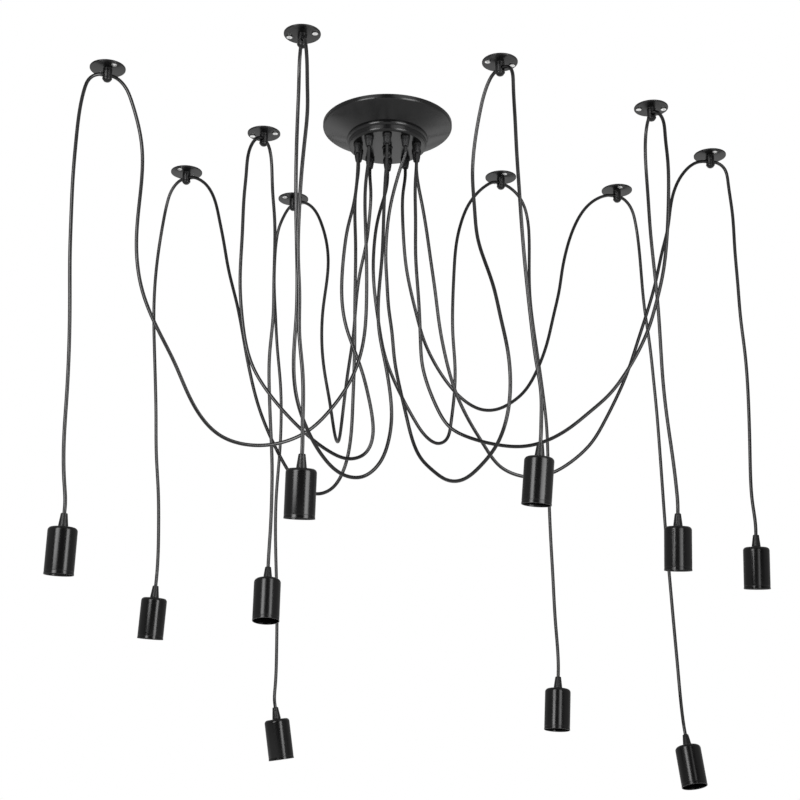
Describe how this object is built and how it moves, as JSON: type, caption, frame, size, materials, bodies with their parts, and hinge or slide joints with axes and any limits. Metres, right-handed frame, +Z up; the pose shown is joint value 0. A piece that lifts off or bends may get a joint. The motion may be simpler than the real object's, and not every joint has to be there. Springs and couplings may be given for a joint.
{
  "type": "multi-light pendant light",
  "caption": "Ceiling canopy with cords that loop out to ceiling hooks and drop to open cylindrical lampholders.",
  "frame": {"origin": "on the ceiling plane over the middle of the canopy, on the top face of the mounting bar", "axes": "+Z up into the ceiling, +X to the right as seen from below at the near side, +Y away from that side"},
  "size_m": [1.0927, 0.7006, 1.0605],
  "materials": {
    "canopy_black": "satin black paint on spun steel",
    "hook_black": "satin black paint",
    "cord_black": "black round flex, slightly matt",
    "shell_black": "satin black paint",
    "holder_black": "matt black moulding",
    "zinc_steel": "bright zinc plate",
    "brass": "plain brass",
    "block_white": "white moulding"
  },
  "bodies": {
    "base": {"canopy": "canopy_black", "mounting_bar": "zinc_steel", "mounting_rod": "zinc_steel", "lock_nut": "brass", "finial": "canopy_black", "terminal_block": "block_white", "earth_screw": "brass", "hook_01": "hook_black", "hook_02": "hook_black", "hook_03": "hook_black", "hook_04": "hook_black", "hook_05": "hook_black", "hook_06": "hook_black", "hook_07": "hook_black", "hook_08": "hook_black", "hook_09": "hook_black", "hook_10": "hook_black", "loop_cord_01": "cord_black", "loop_cord_02": "cord_black", "loop_cord_03": "cord_black", "loop_cord_04": "cord_black", "loop_cord_05": "cord_black", "loop_cord_06": "cord_black", "loop_cord_07": "cord_black", "loop_cord_08": "cord_black", "loop_cord_09": "cord_black", "loop_cord_10": "cord_black"},
    "lamp_01": {"drop_cord_01": "cord_black", "lamp_shell_01": "shell_black", "lampholder_01": "holder_black"},
    "lamp_02": {"drop_cord_02": "cord_black", "lamp_shell_02": "shell_black", "lampholder_02": "holder_black"},
    "lamp_03": {"drop_cord_03": "cord_black", "lamp_shell_03": "shell_black", "lampholder_03": "holder_black"},
    "lamp_04": {"drop_cord_04": "cord_black", "lamp_shell_04": "shell_black", "lampholder_04": "holder_black"},
    "lamp_05": {"drop_cord_05": "cord_black", "lamp_shell_05": "shell_black", "lampholder_05": "holder_black"},
    "lamp_06": {"drop_cord_06": "cord_black", "lamp_shell_06": "shell_black", "lampholder_06": "holder_black"},
    "lamp_07": {"drop_cord_07": "cord_black", "lamp_shell_07": "shell_black", "lampholder_07": "holder_black"},
    "lamp_08": {"drop_cord_08": "cord_black", "lamp_shell_08": "shell_black", "lampholder_08": "holder_black"},
    "lamp_09": {"drop_cord_09": "cord_black", "lamp_shell_09": "shell_black", "lampholder_09": "holder_black"},
    "lamp_10": {"drop_cord_10": "cord_black", "lamp_shell_10": "shell_black", "lampholder_10": "holder_black"}
  },
  "joints": [
    {"name": "lamp_01_swing", "type": "hinge", "parent": "base", "child": "lamp_01", "pos_m": [-0.431, -0.19, -0.013], "axis": [-0.9135, -0.4067, 0], "range_deg": [-12, 12]},
    {"name": "lamp_02_swing", "type": "hinge", "parent": "base", "child": "lamp_02", "pos_m": [-0.358, 0.182, -0.013], "axis": [-0.8829, 0.4695, 0], "range_deg": [-12, 10]},
    {"name": "lamp_03_swing", "type": "hinge", "parent": "base", "child": "lamp_03", "pos_m": [-0.208, 0.031, -0.013], "axis": [0.454, 0.891, 0], "range_deg": [-12, 12]},
    {"name": "lamp_04_swing", "type": "hinge", "parent": "base", "child": "lamp_04", "pos_m": [-0.124, -0.293, -0.013], "axis": [0.2079, -0.9781, 0], "range_deg": [-12, 12]},
    {"name": "lamp_05_swing", "type": "hinge", "parent": "base", "child": "lamp_05", "pos_m": [-0.176, 0.296, -0.013], "axis": [-0.6157, 0.788, 0], "range_deg": [-12, 12]},
    {"name": "lamp_06_swing", "type": "hinge", "parent": "base", "child": "lamp_06", "pos_m": [0.174, -0.209, -0.013], "axis": [0.6561, -0.7547, 0], "range_deg": [-12, 12]},
    {"name": "lamp_07_swing", "type": "hinge", "parent": "base", "child": "lamp_07", "pos_m": [0.201, 0.203, -0.013], "axis": [0.7986, 0.6018, 0], "range_deg": [-8, 12]},
    {"name": "lamp_08_swing", "type": "hinge", "parent": "base", "child": "lamp_08", "pos_m": [0.416, 0.259, -0.013], "axis": [0.8746, 0.4848, 0], "range_deg": [-8, 12]},
    {"name": "lamp_09_swing", "type": "hinge", "parent": "base", "child": "lamp_09", "pos_m": [0.429, -0.06, -0.013], "axis": [-0.225, 0.9744, 0], "range_deg": [-8, 12]},
    {"name": "lamp_10_swing", "type": "hinge", "parent": "base", "child": "lamp_10", "pos_m": [0.558, 0.115, -0.013], "axis": [0.9816, 0.1908, 0], "range_deg": [-10, 12]}
  ]
}
